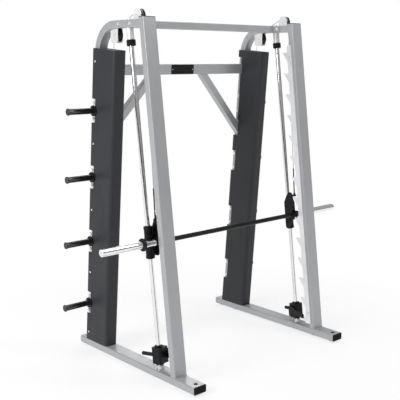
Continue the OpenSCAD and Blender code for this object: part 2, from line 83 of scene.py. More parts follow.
# ---------------------------------------------------------------- light
scene.view_settings.view_transform = "Standard"
world = bpy.data.worlds.new("world")
scene.world = world
world.use_nodes = True
wn, wl = world.node_tree.nodes, world.node_tree.links
wn.clear()
w_out = wn.new("ShaderNodeOutputWorld")
w_mix = wn.new("ShaderNodeMixShader")
w_lp = wn.new("ShaderNodeLightPath")
w_a = wn.new("ShaderNodeBackground")
w_b = wn.new("ShaderNodeBackground")
w_tc = wn.new("ShaderNodeTexCoord")
w_sep = wn.new("ShaderNodeSeparateXYZ")
w_ramp = wn.new("ShaderNodeValToRGB")
w_e = w_ramp.color_ramp.elements
while len(w_e) < 6:
    w_e.new(0.5)
for i, (w_pos, w_v) in enumerate(((0.0, 0.55), (0.44, 0.75), (0.475, 0.10), (0.525, 0.10), (0.56, 0.85), (1.0, 1.0))):
    w_e[i].position = w_pos
    w_e[i].color = (w_v, w_v, w_v, 1)
w_map = wn.new("ShaderNodeMapRange")
w_map.inputs["From Min"].default_value = -1
w_a.inputs["Strength"].default_value = 0.42
w_b.inputs["Color"].default_value = (1, 1, 1, 1)
w_b.inputs["Strength"].default_value = 1.0
wl.new(w_tc.outputs["Generated"], w_sep.inputs[0])
wl.new(w_sep.outputs["Z"], w_map.inputs["Value"])
wl.new(w_map.outputs[0], w_ramp.inputs[0])
wl.new(w_ramp.outputs[0], w_a.inputs["Color"])
wl.new(w_lp.outputs["Is Camera Ray"], w_mix.inputs[0])
wl.new(w_a.outputs[0], w_mix.inputs[1])
wl.new(w_b.outputs[0], w_mix.inputs[2])
wl.new(w_mix.outputs[0], w_out.inputs[0])


def area(name, loc, at, size, watts, col=(1, 1, 1)):
    ld = bpy.data.lights.new(name, "AREA")
    ld.shape = "DISK"
    ld.size = size
    ld.energy = watts
    ld.color = col
    o = bpy.data.objects.new(name, ld)
    scene.collection.objects.link(o)
    o.location = loc
    o.rotation_mode = "QUATERNION"
    o.rotation_quaternion = (Vector(at) - Vector(loc)).to_track_quat("-Z", "Y")
    return o


area("key", (-5.5, 0.2, 3.6), (0, 0, 1.1), 3.0, 200)
area("fill", (1.8, -2.6, 4.4), (-0.3, 0, 1.2), 1.2, 42)
area("front", (-1.0, -5.5, 2.6), (0, 0, 1.2), 3.0, 8)
area("top", (0.3, 0.3, 5.4), (0, 0, 0), 4.0, 85)
area("back", (3.5, 4.5, 3.2), (0, 0, 1.2), 3.0, 45)


# ---------------------------------------------------------------- materials
def new_mat(name):
    m = bpy.data.materials.new(name)
    m.use_nodes = True
    t = m.node_tree
    t.nodes.clear()
    out = t.nodes.new("ShaderNodeOutputMaterial")
    p = t.nodes.new("ShaderNodeBsdfPrincipled")
    t.links.new(p.outputs[0], out.inputs[0])
    tc = t.nodes.new("ShaderNodeTexCoord")
    return m, t, p, tc


def noise(t, tc, scale, detail=4, rough=0.5, stretch=None):
    n = t.nodes.new("ShaderNodeTexNoise")
    n.inputs["Scale"].default_value = scale
    n.inputs["Detail"].default_value = detail
    n.inputs["Roughness"].default_value = rough
    src = tc.outputs["Object"]
    if stretch:
        mp = t.nodes.new("ShaderNodeMapping")
        mp.inputs["Scale"].default_value = stretch
        t.links.new(src, mp.inputs[0])
        src = mp.outputs[0]
    t.links.new(src, n.inputs["Vector"])
    return n.outputs["Fac"]


def ramp(t, fac, stops):
    r = t.nodes.new("ShaderNodeValToRGB")
    e = r.color_ramp.elements
    while len(e) < len(stops):
        e.new(0.5)
    for i, (pos, c) in enumerate(stops):
        e[i].position = pos
        e[i].color = (c[0], c[1], c[2], 1) if isinstance(c, (tuple, list)) else (c, c, c, 1)
    t.links.new(fac, r.inputs[0])
    return r.outputs[0]


def mul(t, a, b, fac=1.0, mode="MULTIPLY"):
    m = t.nodes.new("ShaderNodeMix")
    m.data_type = "RGBA"
    m.blend_type = mode
    m.inputs[0].default_value = fac
    t.links.new(a, m.inputs[6])
    t.links.new(b, m.inputs[7])
    return m.outputs[2]


def bump(t, p, heights):
    prev = None
    for h, strength, dist in heights:
        b = t.nodes.new("ShaderNodeBump")
        b.inputs["Strength"].default_value = strength
        b.inputs["Distance"].default_value = dist
        t.links.new(h, b.inputs["Height"])
        if prev:
            t.links.new(prev, b.inputs["Normal"])
        prev = b.outputs[0]
    t.links.new(prev, p.inputs["Normal"])


def paint(name, c, rough, metal, peel=0.25, flake=0.06, coat=0.0, dust=0.06, spec=0.5):
    """sprayed or powder-coated steel: pigment flake, slow tone drift, orange peel and thin handling marks"""
    m, t, p, tc = new_mat(name)
    lo = [v * (1 - flake) for v in c]
    hi = [min(1, v * (1 + flake)) for v in c]
    fl = ramp(t, noise(t, tc, 900, 2, 0.6), [(0.35, lo), (0.65, hi)])
    drift = ramp(t, noise(t, tc, 2.2, 5, 0.55), [(0.3, 1 - dust), (0.7, 1.0)])
    col = mul(t, fl, drift)
    t.links.new(col, p.inputs["Base Color"])
    scuff = noise(t, tc, 14, 8, 0.68, (1, 1, 0.35))
    t.links.new(ramp(t, scuff, [(0.35, rough - 0.05), (0.62, rough + 0.04), (0.75, rough + 0.14)]), p.inputs["Roughness"])
    p.inputs["Metallic"].default_value = metal
    p.inputs["Specular IOR Level"].default_value = spec
    p.inputs["Coat Weight"].default_value = coat
    p.inputs["Coat Roughness"].default_value = 0.12
    bump(t, p, [(noise(t, tc, 420, 2, 0.5), peel, 0.0004), (noise(t, tc, 30, 3, 0.5), 0.05, 0.001)])
    return m


def metal(name, c, rough, lines=0.3, stretch=(1, 1, 0.02), tarnish=0.1, spread=0.06, metallic=1.0):
    """bare or plated steel with drawn lines along one direction and faint cloudy tarnish"""
    m, t, p, tc = new_mat(name)
    ln = noise(t, tc, 500, 3, 0.6, stretch)
    cl = noise(t, tc, 9, 6, 0.6)
    base = ramp(t, ln, [(0.3, [v * 0.93 for v in c]), (0.7, c)])
    tone = ramp(t, cl, [(0.35, 1 - tarnish), (0.65, 1.0)])
    t.links.new(mul(t, base, tone), p.inputs["Base Color"])
    t.links.new(ramp(t, cl, [(0.3, max(0.02, rough - spread)), (0.7, rough + spread)]), p.inputs["Roughness"])
    p.inputs["Metallic"].default_value = metallic
    bump(t, p, [(ln, lines, 0.00012), (cl, 0.04, 0.0006)])
    return m


def moulded(name, c, rough, grain=0.35, scale=650, sheen=0.0, spec=0.4):
    """moulded rubber or plastic: fine spark texture, scuffed high spots, dusty tone"""
    m, t, p, tc = new_mat(name)
    g = noise(t, tc, scale, 3, 0.65)
    d = noise(t, tc, 12, 6, 0.6)
    t.links.new(mul(t, ramp(t, d, [(0.35, [v * 0.8 for v in c]), (0.7, [v * 1.25 + 0.004 for v in c])]),
                    ramp(t, g, [(0.3, 0.88), (0.7, 1.0)])), p.inputs["Base Color"])
    t.links.new(ramp(t, d, [(0.3, rough - 0.06), (0.7, rough + 0.1)]), p.inputs["Roughness"])
    p.inputs["Specular IOR Level"].default_value = spec
    p.inputs["Sheen Weight"].default_value = sheen
    bump(t, p, [(g, grain, 0.0004)])
    return m


def cast(name, c):
    m, t, p, tc = new_mat(name)
    v = t.nodes.new("ShaderNodeTexVoronoi")
    v.inputs["Scale"].default_value = 160
    t.links.new(tc.outputs["Object"], v.inputs["Vector"])
    d = noise(t, tc, 25, 8, 0.7)
    t.links.new(ramp(t, d, [(0.3, [x * 0.7 for x in c]), (0.7, [x * 1.3 for x in c])]), p.inputs["Base Color"])
    t.links.new(ramp(t, d, [(0.3, 0.55), (0.7, 0.8)]), p.inputs["Roughness"])
    p.inputs["Metallic"].default_value = 0.4
    bump(t, p, [(v.outputs["Distance"], 0.3, 0.0008), (d, 0.4, 0.001)])
    return m


MAT = {
    "silver_paint": paint("silver_paint", (0.435, 0.44, 0.455), 0.36, 0.35, peel=0.22, flake=0.09, dust=0.05),
    "dark_paint": paint("dark_paint", (0.030, 0.031, 0.036), 0.48, 0.0, peel=0.35, flake=0.22, dust=0.12, spec=0.3),
    "black_paint": paint("black_paint", (0.0045, 0.0045, 0.005), 0.36, 0.0, peel=0.22, flake=0.2, coat=0.0, dust=0.15, spec=0.22),
    "black_gloss": moulded("black_gloss", (0.005, 0.005, 0.006), 0.16, 0.04, 300, spec=1.0),
    "black_rubber": moulded("black_rubber", (0.006, 0.006, 0.0065), 0.7, 0.5, 500, sheen=0.03, spec=0.2),
    "grey_plastic": moulded("grey_plastic", (0.42, 0.425, 0.44), 0.4, 0.15, 500),
    "dark_plastic": moulded("dark_plastic", (0.03, 0.03, 0.032), 0.38, 0.25, 600, spec=0.5),
    "pulley_plastic": moulded("pulley_plastic", (0.006, 0.006, 0.0065), 0.4, 0.15, 450, spec=0.25),
    "black_sleeve": moulded("black_sleeve", (0.012, 0.012, 0.013), 0.5, 0.3, 800, spec=0.4),
    "grip": moulded("grip", (0.006, 0.006, 0.0065), 0.55, 0.5, 700, sheen=0.03, spec=0.25),
    "zinc": metal("zinc", (0.88, 0.88, 0.89), 0.28, 0.2, (1, 1, 0.2), 0.08, metallic=0.55),
    "zinc_plate": metal("zinc_plate", (0.90, 0.90, 0.92), 0.36, 0.35, (1, 0.06, 1), 0.06, metallic=0.4),
    "chrome": metal("chrome", (0.90, 0.90, 0.91), 0.10, 0.06, (1, 1, 0.03), 0.04, 0.03),
    "steel": metal("steel", (0.66, 0.66, 0.66), 0.30, 0.2, (1, 1, 0.1), 0.12),
    "cast_iron": cast("cast_iron", (0.10, 0.10, 0.105)),
}


def put(o, key):
    o.data.materials.clear()
    o.data.materials.append(MAT[key])


for n, o in N.items():
    put(o, SLOT[n])

# ---------------------------------------------------------------- frames and mesh helpers
MA = Matrix.Translation((0, -0.243, 0.062)) @ Matrix.Rotation(rad(-7), 4, "X")
MB = Matrix.Translation((0, 0.537, 0.062)) @ Matrix.Rotation(rad(5), 4, "X")
XC = 0.693
CX = 0.684
BAR_Y, BAR_Z = -0.0744, 0.8523
BAR = MA @ Vector((0, BAR_Y, BAR_Z))
XAX = Matrix.Rotation(rad(90), 4, "Y")  # local z to world x
count = {}


def obj(bm, name, key, body, smooth=35, weld=True):
    if weld:
        bmesh.ops.remove_doubles(bm, verts=bm.verts, dist=1e-6)
    bmesh.ops.recalc_face_normals(bm, faces=bm.faces)
    me = bpy.data.meshes.new(name)
    bm.to_mesh(me)
    bm.free()
    o = bpy.data.objects.new(name, me)
    scene.collection.objects.link(o)
    me.polygons.foreach_set("use_smooth", [True] * len(me.polygons))
    me.set_sharp_from_angle(angle=rad(smooth))
    put(o, key)
    if body:
        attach(o, body)
    return o


def lathe(bm, prof, n=48, mat=Matrix.Identity(4), closed=False):
    rings = []
    for r, z in prof:
        if r < 1e-7:
            rings.append([bm.verts.new(mat @ Vector((0, 0, z)))])
        else:
            rings.append([bm.verts.new(mat @ Vector((r * math.cos(2 * math.pi * i / n), r * math.sin(2 * math.pi * i / n), z))) for i in range(n)])
    pairs = list(zip(rings, rings[1:]))
    if closed:
        pairs.append((rings[-1], rings[0]))
    for a, b in pairs:
        for i in range(n):
            j = (i + 1) % n
            if len(a) == 1 and len(b) == 1:
                continue
            if len(a) == 1:
                bm.faces.new((a[0], b[i], b[j]))
            elif len(b) == 1:
                bm.faces.new((a[i], a[j], b[0]))
            else:
                bm.faces.new((a[i], a[j], b[j], b[i]))


def flip(bm, start):
    """mirror all verts of the mesh in x; start is not used"""
    bm.verts.ensure_lookup_table()
    for v in bm.verts:
        v.co.x = -v.co.x
    bmesh.ops.reverse_faces(bm, faces=bm.faces)


def both(make, name, key, bodies, smooth=35):
    """a piece for the right side and its mirror image for the left"""
    out = []
    for side, body in (("right", bodies[1]), ("left", bodies[0])):
        bm = bmesh.new()
        make(bm)
        if side == "left":
            flip(bm, 0)
        out.append(obj(bm, name + "_" + side, key, body, smooth))
    return out


def sweep(bm, pts, prof, twist=0.0, closed=False, up=Vector((1, 0, 0))):
    """prof(i, k) -> list of (a, b) offsets; a ring at each point, square to the path"""
    n = len(pts)
    rings = []
    for i, p in enumerate(pts):
        if closed:
            d = pts[(i + 1) % n] - pts[i - 1]
        else:
            d = pts[min(i + 1, n - 1)] - pts[max(i - 1, 0)]
        d.normalize()
        u = (up - up.dot(d) * d).normalized()
        v = d.cross(u)
        rings.append([bm.verts.new(p + u * a + v * b) for a, b in prof(i)])
    m = len(rings[0])
    last = n if closed else n - 1
    for i in range(last):
        a, b = rings[i], rings[(i + 1) % n]
        for k in range(m):
            l = (k + 1) % m
            bm.faces.new((a[k], a[l], b[l], b[k]))
    if not closed:
        bm.faces.new(rings[0][::-1])
        bm.faces.new(rings[-1])


def rope(bm, pts, r=0.0025, lay=0.024, per=24):
    """stranded wire rope: six lobes that twist along the path"""
    s = [0.0]
    for a, b in zip(pts, pts[1:]):
        s.append(s[-1] + (b - a).length)

    def prof(i):
        ph = 2 * math.pi * s[i] / lay
        return [(r * (0.87 + 0.13 * math.cos(6 * (q - ph))) * math.cos(q), r * (0.87 + 0.13 * math.cos(6 * (q - ph))) * math.sin(q))
                for q in (2 * math.pi * k / per for k in range(per))]
    sweep(bm, pts, prof)


def line(a, b, step):
    n = max(2, int((b - a).length / step))
    return [a.lerp(b, i / n) for i in range(n + 1)]


def bead(bm, corners, r=0.003, step=0.0022, closed=True, up=Vector((0.3, 0.2, 1)).normalized(), seed=0):
    """weld bead: overlapping scallops along a path"""
    pts = []
    cs = corners + ([corners[0]] if closed else [])
    for a, b in zip(cs, cs[1:]):
        pts += line(a, b, step)[:-1]
    if not closed:
        pts.append(cs[-1])

    def prof(i):
        k = r * (0.86 + 0.14 * abs(math.sin(i * 0.9 + seed)) + 0.05 * math.sin(i * 0.37 + seed * 2))
        return [(k * math.cos(q), k * math.sin(q)) for q in (2 * math.pi * j / 8 for j in range(8))]
    sweep(bm, pts, prof, closed=closed, up=up)


def screw(bm, mat, r, h, hexr=None, depth=None, n=32):
    """button or cap head with a hexagon socket; local z points out of the surface"""
    hexr = hexr or r * 0.5
    depth = depth or h * 0.6
    prof = [(r, 0), (r, h * 0.35), (r * 0.97, h * 0.6), (r * 0.88, h * 0.85), (r * 0.76, h), (hexr * 1.2, h)]
    lathe(bm, prof, n, mat)
    top = [mat @ Vector((hexr * 1.2 * math.cos(2 * math.pi * i / n), hexr * 1.2 * math.sin(2 * math.pi * i / n), h)) for i in range(n)]

    def hx(q):
        a = (q % (math.pi / 3)) - math.pi / 6
        return hexr * math.cos(math.pi / 6) / math.cos(a)
    rim = [bm.verts.new(p) for p in top]
    up_ = [bm.verts.new(mat @ Vector((hx(2 * math.pi * i / n) * math.cos(2 * math.pi * i / n), hx(2 * math.pi * i / n) * math.sin(2 * math.pi * i / n), h))) for i in range(n)]
    dn = [bm.verts.new(mat @ Vector((hx(2 * math.pi * i / n) * math.cos(2 * math.pi * i / n), hx(2 * math.pi * i / n) * math.sin(2 * math.pi * i / n), h - depth))) for i in range(n)]
    c = bm.verts.new(mat @ Vector((0, 0, h - depth - hexr * 0.25)))
    base = bm.verts.new(mat @ Vector((0, 0, 0)))
    bott = [bm.verts.new(mat @ Vector((r * math.cos(2 * math.pi * i / n), r * math.sin(2 * math.pi * i / n), 0))) for i in range(n)]
    for i in range(n):
        j = (i + 1) % n
        bm.faces.new((rim[i], rim[j], up_[j], up_[i]))
        bm.faces.new((up_[i], up_[j], dn[j], dn[i]))
        bm.faces.new((dn[i], dn[j], c))
        bm.faces.new((bott[j], bott[i], base))


def hexbolt(bm, mat, af, h, washer=None, wh=0.002):
    """hexagon head with chamfered corners, dome and washer"""
    z0 = 0.0
    if washer:
        lathe(bm, [(0, 0), (washer, 0), (washer, wh * 0.7), (washer * 0.97, wh), (0, wh)], 40, mat)
        z0 = wh
    n = 48
    rc = af / 2 / math.cos(math.pi / 6)

    def hr(q):
        a = (q % (math.pi / 3)) - math.pi / 6
        return af / 2 / math.cos(a)
    rings = []
    for z, lim in ((z0, 1.0), (z0 + h * 0.86, 1.0), (z0 + h * 0.95, 0.94), (z0 + h, 0.86)):
        rings.append([bm.verts.new(mat @ Vector((min(hr(q), rc * lim) * math.cos(q), min(hr(q), rc * lim) * math.sin(q), z))) for q in (2 * math.pi * i / n for i in range(n))])
    a0 = bm.verts.new(mat @ Vector((0, 0, z0)))
    a1 = bm.verts.new(mat @ Vector((0, 0, z0 + h)))
    for a, b in zip(rings, rings[1:]):
        for i in range(n):
            j = (i + 1) % n
            bm.faces.new((a[i], a[j], b[j], b[i]))
    for i in range(n):
        j = (i + 1) % n
        bm.faces.new((rings[0][j], rings[0][i], a0))
        bm.faces.new((rings[-1][i], rings[-1][j], a1))


def soften(node, width, key=None, seg=2, angle=28, body=None):
    """the CAD node's own mesh with its sharp edges broken, shown in place of the node"""
    src = N[node]
    bm = bmesh.new()
    bm.from_mesh(src.data)
    bmesh.ops.remove_doubles(bm, verts=bm.verts, dist=2e-6)
    bmesh.ops.dissolve_limit(bm, angle_limit=rad(1.0), verts=bm.verts, edges=bm.edges)
    o = obj(bm, node + "_finished", key or SLOT[node], None, 30, weld=False)
    md = o.modifiers.new("edge", "BEVEL")
    md.width = width
    md.segments = seg
    md.limit_method = "ANGLE"
    md.angle_limit = rad(angle)
    md.use_clamp_overlap = True
    md.harden_normals = True
    dg = bpy.context.evaluated_depsgraph_get()
    me = bpy.data.meshes.new_from_object(o.evaluated_get(dg))
    old = o.data
    o.modifiers.clear()
    o.data = me
    bpy.data.meshes.remove(old)
    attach(o, body or src["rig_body"])
    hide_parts(node)
    return o


# ---------------------------------------------------------------- broken edges on the cut and folded steel
for node_name, w in (("carriage_brackets", 0.0014), ("rack_plates", 0.0008), ("horn_plates", 0.0010), ("bar_hooks", 0.0013),
                     ("stop_hook_left", 0.0018), ("stop_hook_right", 0.0018), ("pulley_brackets", 0.0006),
                     ("rail_front_caps", 0.0008), ("rail_rear_caps", 0.0012), ("upright_top_caps", 0.0008), ("name_plate", 0.0004),
                     ("shroud_top_caps", 0.0008)):
    soften(node_name, w, "black_paint" if node_name == "name_plate" else None)

# ---------------------------------------------------------------- wire ropes
P1 = Vector((CX, -0.063, 2.363))
P2 = Vector((CX, 0.176, 2.243))
R1, R2 = 0.034, 0.038
aw = MA @ Vector((CX, BAR_Y, BAR_Z + 0.152))
dv = Vector((0, P1.y - aw.y, P1.z - aw.z))
ca = math.atan2(dv.y, dv.z) - math.asin(R1 / dv.length)
tl = math.sqrt(dv.length ** 2 - R1 ** 2)
rdir = Vector((0, math.sin(ca), math.cos(ca)))
top_t = aw + rdir * tl
pd = P2 - P1
na = math.atan2(pd.z, pd.y) + math.pi / 2 + math.asin((R2 - R1) / pd.length)
nv = Vector((0, math.cos(na), math.sin(na)))
p2l = MB.inverted() @ P2
rear_top = MB @ Vector((CX, p2l.y + R2, p2l.z))
WZ = 1.160
rear_bot = MB @ Vector((CX, p2l.y + R2, WZ + 0.200))


def arc_pts(c, r, a0, a1, step=0.003):
    n = max(3, int(abs(a1 - a0) * r / step))
    return [c + Vector((0, r * math.cos(a0 + (a1 - a0) * i / n), r * math.sin(a0 + (a1 - a0) * i / n))) for i in range(n + 1)]


fixed = arc_pts(P1, R1, math.pi - ca, na) + line(P1 + nv * R1, P2 + nv * R2, 0.003)[1:-1] + arc_pts(P2, R2, na, rad(5))


def make_wrap(bm):
    rope(bm, fixed)


def make_front(bm):
    rope(bm, line(aw + rdir * 0.046, top_t, 0.004))


def make_sheath(bm):
    """ribbed sleeve drawn over the lower end of the rope"""
    pts = line(aw + rdir * 0.0525, aw + rdir * 0.200, 0.0011)
    last = len(pts) - 1

    def prof(i):
        r = 0.0046 if i % 4 < 3 else 0.0043
        if i == 0 or i == last:
            r = 0.0038
        return [(r * math.cos(q), r * math.sin(q)) for q in (2 * math.pi * k / 20 for k in range(20))]
    sweep(bm, pts, prof)


def make_rear(bm):
    rope(bm, line(rear_top, rear_bot, 0.004))


wraps = both(make_wrap, "wire_rope_over_pulleys", "steel", ("frame", "frame"))
for o in wraps:
    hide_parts("cable_wraps")
fronts = both(make_front, "wire_rope_front", "steel", (None, None))
for o, sg in zip(fronts, (1, -1)):
    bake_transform(o)
    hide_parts("cable_front_runs")
for o, sg in zip(both(make_sheath, "rope_sheath", "black_sleeve", (None, None)), (1, -1)):
    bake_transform(o)
    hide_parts("cable_front_runs")
rears = both(make_rear, "wire_rope_rear", "steel", (None, None))
for o, sg, sd in zip(rears, (1, -1), ("right", "left")):
    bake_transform(o)
    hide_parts("cable_rear_" + sd)

# ends of the ropes: black tube with a crimped ferrule and a jam nut, and an eye on the counterweight
M_END = Matrix.Translation(aw) @ Matrix.Rotation(-ca, 4, "X")


def make_end(bm):
    lathe(bm, [(0, 0.009), (0.0052, 0.009), (0.0054, 0.012), (0.0050, 0.013), (0.0050, 0.016), (0.0054, 0.017), (0.0054, 0.020), (0.0050, 0.021),
               (0.0050, 0.0395), (0.0046, 0.0425), (0.0036, 0.0505), (0.0031, 0.0518), (0, 0.0518)], 32, M_END)
    hexbolt(bm, M_END @ Matrix.Translation((0, 0, 0.0003)), 0.0148, 0.0080)


for o in both(make_end, "rope_end_sleeve", "black_sleeve", ("carriages", "carriages")):
    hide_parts("cable_end_fittings")


def make_eye(bm):
    m = MB @ Matrix.Translation((CX, p2l.y + R2, WZ + 0.200))
    lathe(bm, [(0, 0), (0.011, 0), (0.011, 0.004), (0.0075, 0.006), (0.0065, 0.010), (0.0050, 0.018), (0.0036, 0.024), (0.0028, 0.026), (0, 0.026)], 32, m)


both(make_eye, "rope_eye", "zinc", ("counterweight_left", "counterweight_right"))


# ---------------------------------------------------------------- pulleys
def make_pulley(p, ro, rc):
    g = rc - 0.0028
    prof = [(0.0052, -0.0158), (0.0105, -0.0158), (0.0112, -0.0152), (0.0112, -0.0082), (0.0130, -0.0070), (g - 0.006, -0.0070),
            (g - 0.003, -0.0098), (ro - 0.0025, -0.0152), (ro - 0.0008, -0.0150), (ro, -0.0140), (ro, -0.0096), (ro - 0.0007, -0.0085),
            (g + 0.0012, -0.0040), (g + 0.0003, -0.0026), (g, 0), (g + 0.0003, 0.0026), (g + 0.0012, 0.0040), (ro - 0.0007, 0.0085), (ro, 0.0096),
            (ro, 0.0140), (ro - 0.0008, 0.0150), (ro - 0.0025, 0.0152), (g - 0.003, 0.0098), (g - 0.006, 0.0070), (0.0130, 0.0070),
            (0.0112, 0.0082), (0.0112, 0.0152), (0.0105, 0.0158), (0.0052, 0.0158)]

    def make(bm):
        m = Matrix.Translation(p) @ XAX
        lathe(bm, prof, 72, m, closed=True)
        for s in (-1, 1):
            for k in range(6):
                q = 2 * math.pi * k / 6
                w = 0.0022
                r0, r1 = 0.0108, g - 0.0045
                c, sn = math.cos(q), math.sin(q)
                vs = []
                for r in (r0, r1):
                    for t_ in (-w, w):
                        for z in (0.0065 * s, 0.0115 * s):
                            vs.append(bm.verts.new(m @ Vector((r * c - t_ * sn, r * sn + t_ * c, z))))
                for f in ((0, 1, 3, 2), (4, 6, 7, 5), (0, 4, 5, 1), (2, 3, 7, 6), (1, 5, 7, 3), (0, 2, 6, 4)):
                    bm.faces.new([vs[i] for i in f])
    return make


for nm, p, ro, rc in (("top", P1, 0.038, R1), ("rear", P2, 0.042, R2)):
    for o, sd in zip(both(make_pulley(p, ro, rc), "pulley_wheel_" + nm, "pulley_plastic", (f"pulley_{nm}_left", f"pulley_{nm}_right")), ("right", "left")):
        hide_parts(f"pulley_{nm}_{sd}")

    def races(bm, p=p):
        for s in (-1, 1):
            m = Matrix.Translation(p) @ XAX
            z = 0.0158 * s
            lathe(bm, [(0.0053, z - s * 0.003), (0.0053, z + s * 0.0004), (0.0068, z + s * 0.0004), (0.0070, z - s * 0.0002), (0.0090, z - s * 0.0002), (0.0092, z + s * 0.0004), (0.0103, z + s * 0.0004), (0.0103, z - s * 0.003)], 48, m, closed=True)
    both(races, "pulley_bearing_" + nm, "steel", (f"pulley_{nm}_left", f"pulley_{nm}_right"))


# ---------------------------------------------------------------- bolts, nuts and screws
def x_out(p):
    return Matrix.Translation(p) @ XAX


def x_in(p):
    return Matrix.Translation(p) @ Matrix.Rotation(rad(-90), 4, "Y")


HORN_Z = (0.286, 0.753, 1.220, 1.686)
HX = XC + 0.035


def make_horn_bolts(bm):
    for z in HORN_Z:
        for dz in (-0.057, 0.057):
            p = MB @ Vector((HX + 0.0101, 0.002, z + dz))
            hexbolt(bm, x_out(p), 0.019, 0.008, 0.012, 0.002)
            p = MB @ Vector((XC - 0.03505, 0.002, z + dz))
            hexbolt(bm, x_in(p), 0.019, 0.009, 0.012, 0.002)


for o in both(make_horn_bolts, "horn_bolt_heads", "zinc", ("frame", "frame")):
    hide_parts("horn_bolts")


def make_cross_bolts(bm):
    for y in (-0.016, 0.106):
        hexbolt(bm, x_in(Vector((XC - 0.041, y, 2.311))), 0.016, 0.007, 0.011, 0.0015)


for o in both(make_cross_bolts, "cross_tube_bolt_heads", "zinc", ("frame", "frame")):
    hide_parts("cross_tube_bolts")


def make_outer_bolts(bm):
    for y in (-0.016, 0.106):
        hexbolt(bm, x_out(Vector((XC + 0.03505, y, 2.311))), 0.016, 0.006, 0.010, 0.0015)


both(make_outer_bolts, "cross_tube_bolt_outer_heads", "zinc", ("frame", "frame"))


def make_axle_bolts(bm):
    for p in (P1, P2):
        m = Matrix.Translation(p) @ XAX
        lathe(bm, [(0, -0.021), (0.005, -0.021), (0.005, 0.021), (0, 0.021)], 32, m)
        hexbolt(bm, x_out(p + Vector((0.02105, 0, 0))), 0.015, 0.006, 0.009, 0.0015)
        hexbolt(bm, x_in(p - Vector((0.02105, 0, 0))), 0.015, 0.006, 0.009, 0.0015)


for o in both(make_axle_bolts, "pulley_axles", "zinc", ("frame", "frame")):
    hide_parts("pulley_axle_bolts")


def make_rack_screws(bm):
    for i in range(7):
        p = MA @ Vector((XC - 0.0581, -0.173, 0.1 + i * 0.32))
        screw(bm, x_in(p), 0.0088, 0.0048, 0.0036)


for o in both(make_rack_screws, "rack_screw_heads", "zinc", ("frame", "frame")):
    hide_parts("rack_bolts")


def make_cover_screws(bm):
    for z in (0.060, 0.520, 0.986, 1.458, 2.020):
        p = MB @ Vector((XC + 0.05005, -0.005, z))
        screw(bm, x_out(p), 0.0069, 0.0029, 0.0026)


for o in both(make_cover_screws, "cover_screw_heads", "zinc", ("frame", "frame")):
    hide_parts("shroud_screws")


def make_rod_nut(bm):
    m = Matrix.Translation((XC, 0.036, 2.33605))
    hexbolt(bm, m, 0.0185, 0.0070, 0.012, 0.0018)
    prof = [(0, 0.0088)]
    for i in range(2):
        z = 0.0088 + i * 0.00110
        prof += [(0.0058, z), (0.0053, z + 0.00055)]
    prof += [(0.0050, 0.0110), (0, 0.0110)]
    lathe(bm, prof, 32, m)


for o in both(make_rod_nut, "rod_nuts", "zinc", ("frame", "frame")):
    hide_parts("rod_top_nuts")


# ---------------------------------------------------------------- turned and moulded pieces
def make_bumper(bm):
    m = MA @ Matrix.Translation((XC, 0, 0))
    prof = [(0.01503, 2.1255), (0.0245, 2.1250), (0.0262, 2.1256), (0.0285, 2.1275), (0.0298, 2.1300), (0.0300, 2.1330)]
    for z in (2.138, 2.146):
        prof += [(0.0300, z), (0.0291, z + 0.001), (0.0291, z + 0.0022), (0.0300, z + 0.0032)]
    prof += [(0.0300, 2.1580), (0.0296, 2.1605), (0.0285, 2.1625), (0.0270, 2.1634), (0.01503, 2.1634)]
    lathe(bm, prof, 64, m, closed=True)


for o in both(make_bumper, "rod_bumper", "black_rubber", ("frame", "frame")):
    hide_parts("rod_top_bumpers")


def make_housing(bm):
    m = MA @ Matrix.Translation((XC, 0, BAR_Z))
    prof = [(0.02202, -0.108), (0.0262, -0.110), (0.0288, -0.1098), (0.0300, -0.1085), (0.0300, -0.0915), (0.0296, -0.0902), (0.0286, -0.0896), (0.0284, -0.088),
            (0.0284, -0.0365), (0.0288, -0.0350), (0.0297, -0.0342), (0.0300, -0.0330), (0.0300, 0.0330), (0.0297, 0.0342), (0.0288, 0.0350), (0.0284, 0.0365),
            (0.0284, 0.080), (0.0286, 0.0816), (0.0296, 0.0822), (0.0300, 0.0835), (0.0300, 0.1005), (0.0288, 0.1018), (0.0262, 0.1020), (0.02202, 0.100)]
    lathe(bm, prof, 72, m, closed=True)


for o in both(make_housing, "carriage_housing", "black_paint", ("carriages", "carriages"), smooth=28):
    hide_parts("carriage_housings")


def make_seals(bm):
    m = MA @ Matrix.Translation((XC, 0, BAR_Z))
    for s, z in ((-1, -0.1101), (1, 0.1021)):
        lathe(bm, [(0.0153, z), (0.0260, z), (0.0260, z + s * 0.0012), (0.0225, z + s * 0.0022), (0.0180, z + s * 0.0026), (0.0160, z + s * 0.0048), (0.0153, z + s * 0.0050)], 56, m, closed=True)


both(make_seals, "rod_wiper_seal", "black_rubber", ("carriages", "carriages"))


def make_nipple(bm):
    for z in (-0.060, 0.056):
        m = MA @ Matrix.Translation((XC, 0.0280, BAR_Z + z)) @ Matrix.Rotation(rad(-90), 4, "X")
        hexbolt(bm, m, 0.008, 0.003)
        lathe(bm, [(0, 0.003), (0.0026, 0.003), (0.0026, 0.0052), (0.0019, 0.0060), (0.0019, 0.0072), (0.0030, 0.0084), (0.0028, 0.0098), (0.0014, 0.0104), (0, 0.0104)], 24, m)


both(make_nipple, "grease_nipples", "zinc", ("carriages", "carriages"))


def make_bracket_screws(bm):
    for z in (-0.062, 0.0, 0.062):
        if abs(z) < 0.01:
            continue
        p = MA @ Vector((XC - 0.0451, 0.0 - 0.008, BAR_Z + z))
        screw(bm, x_in(p), 0.0075, 0.0058, 0.0035)
    for dy, dz in ((-0.012, 0.046), (0.030, 0.046), (0.034, -0.044)):
        p = MA @ Vector((XC - 0.0451, BAR_Y + dy, BAR_Z + dz))
        screw(bm, x_in(p), 0.0075, 0.0058, 0.0035)


both(make_bracket_screws, "bracket_screws", "black_paint", ("carriages", "carriages"))


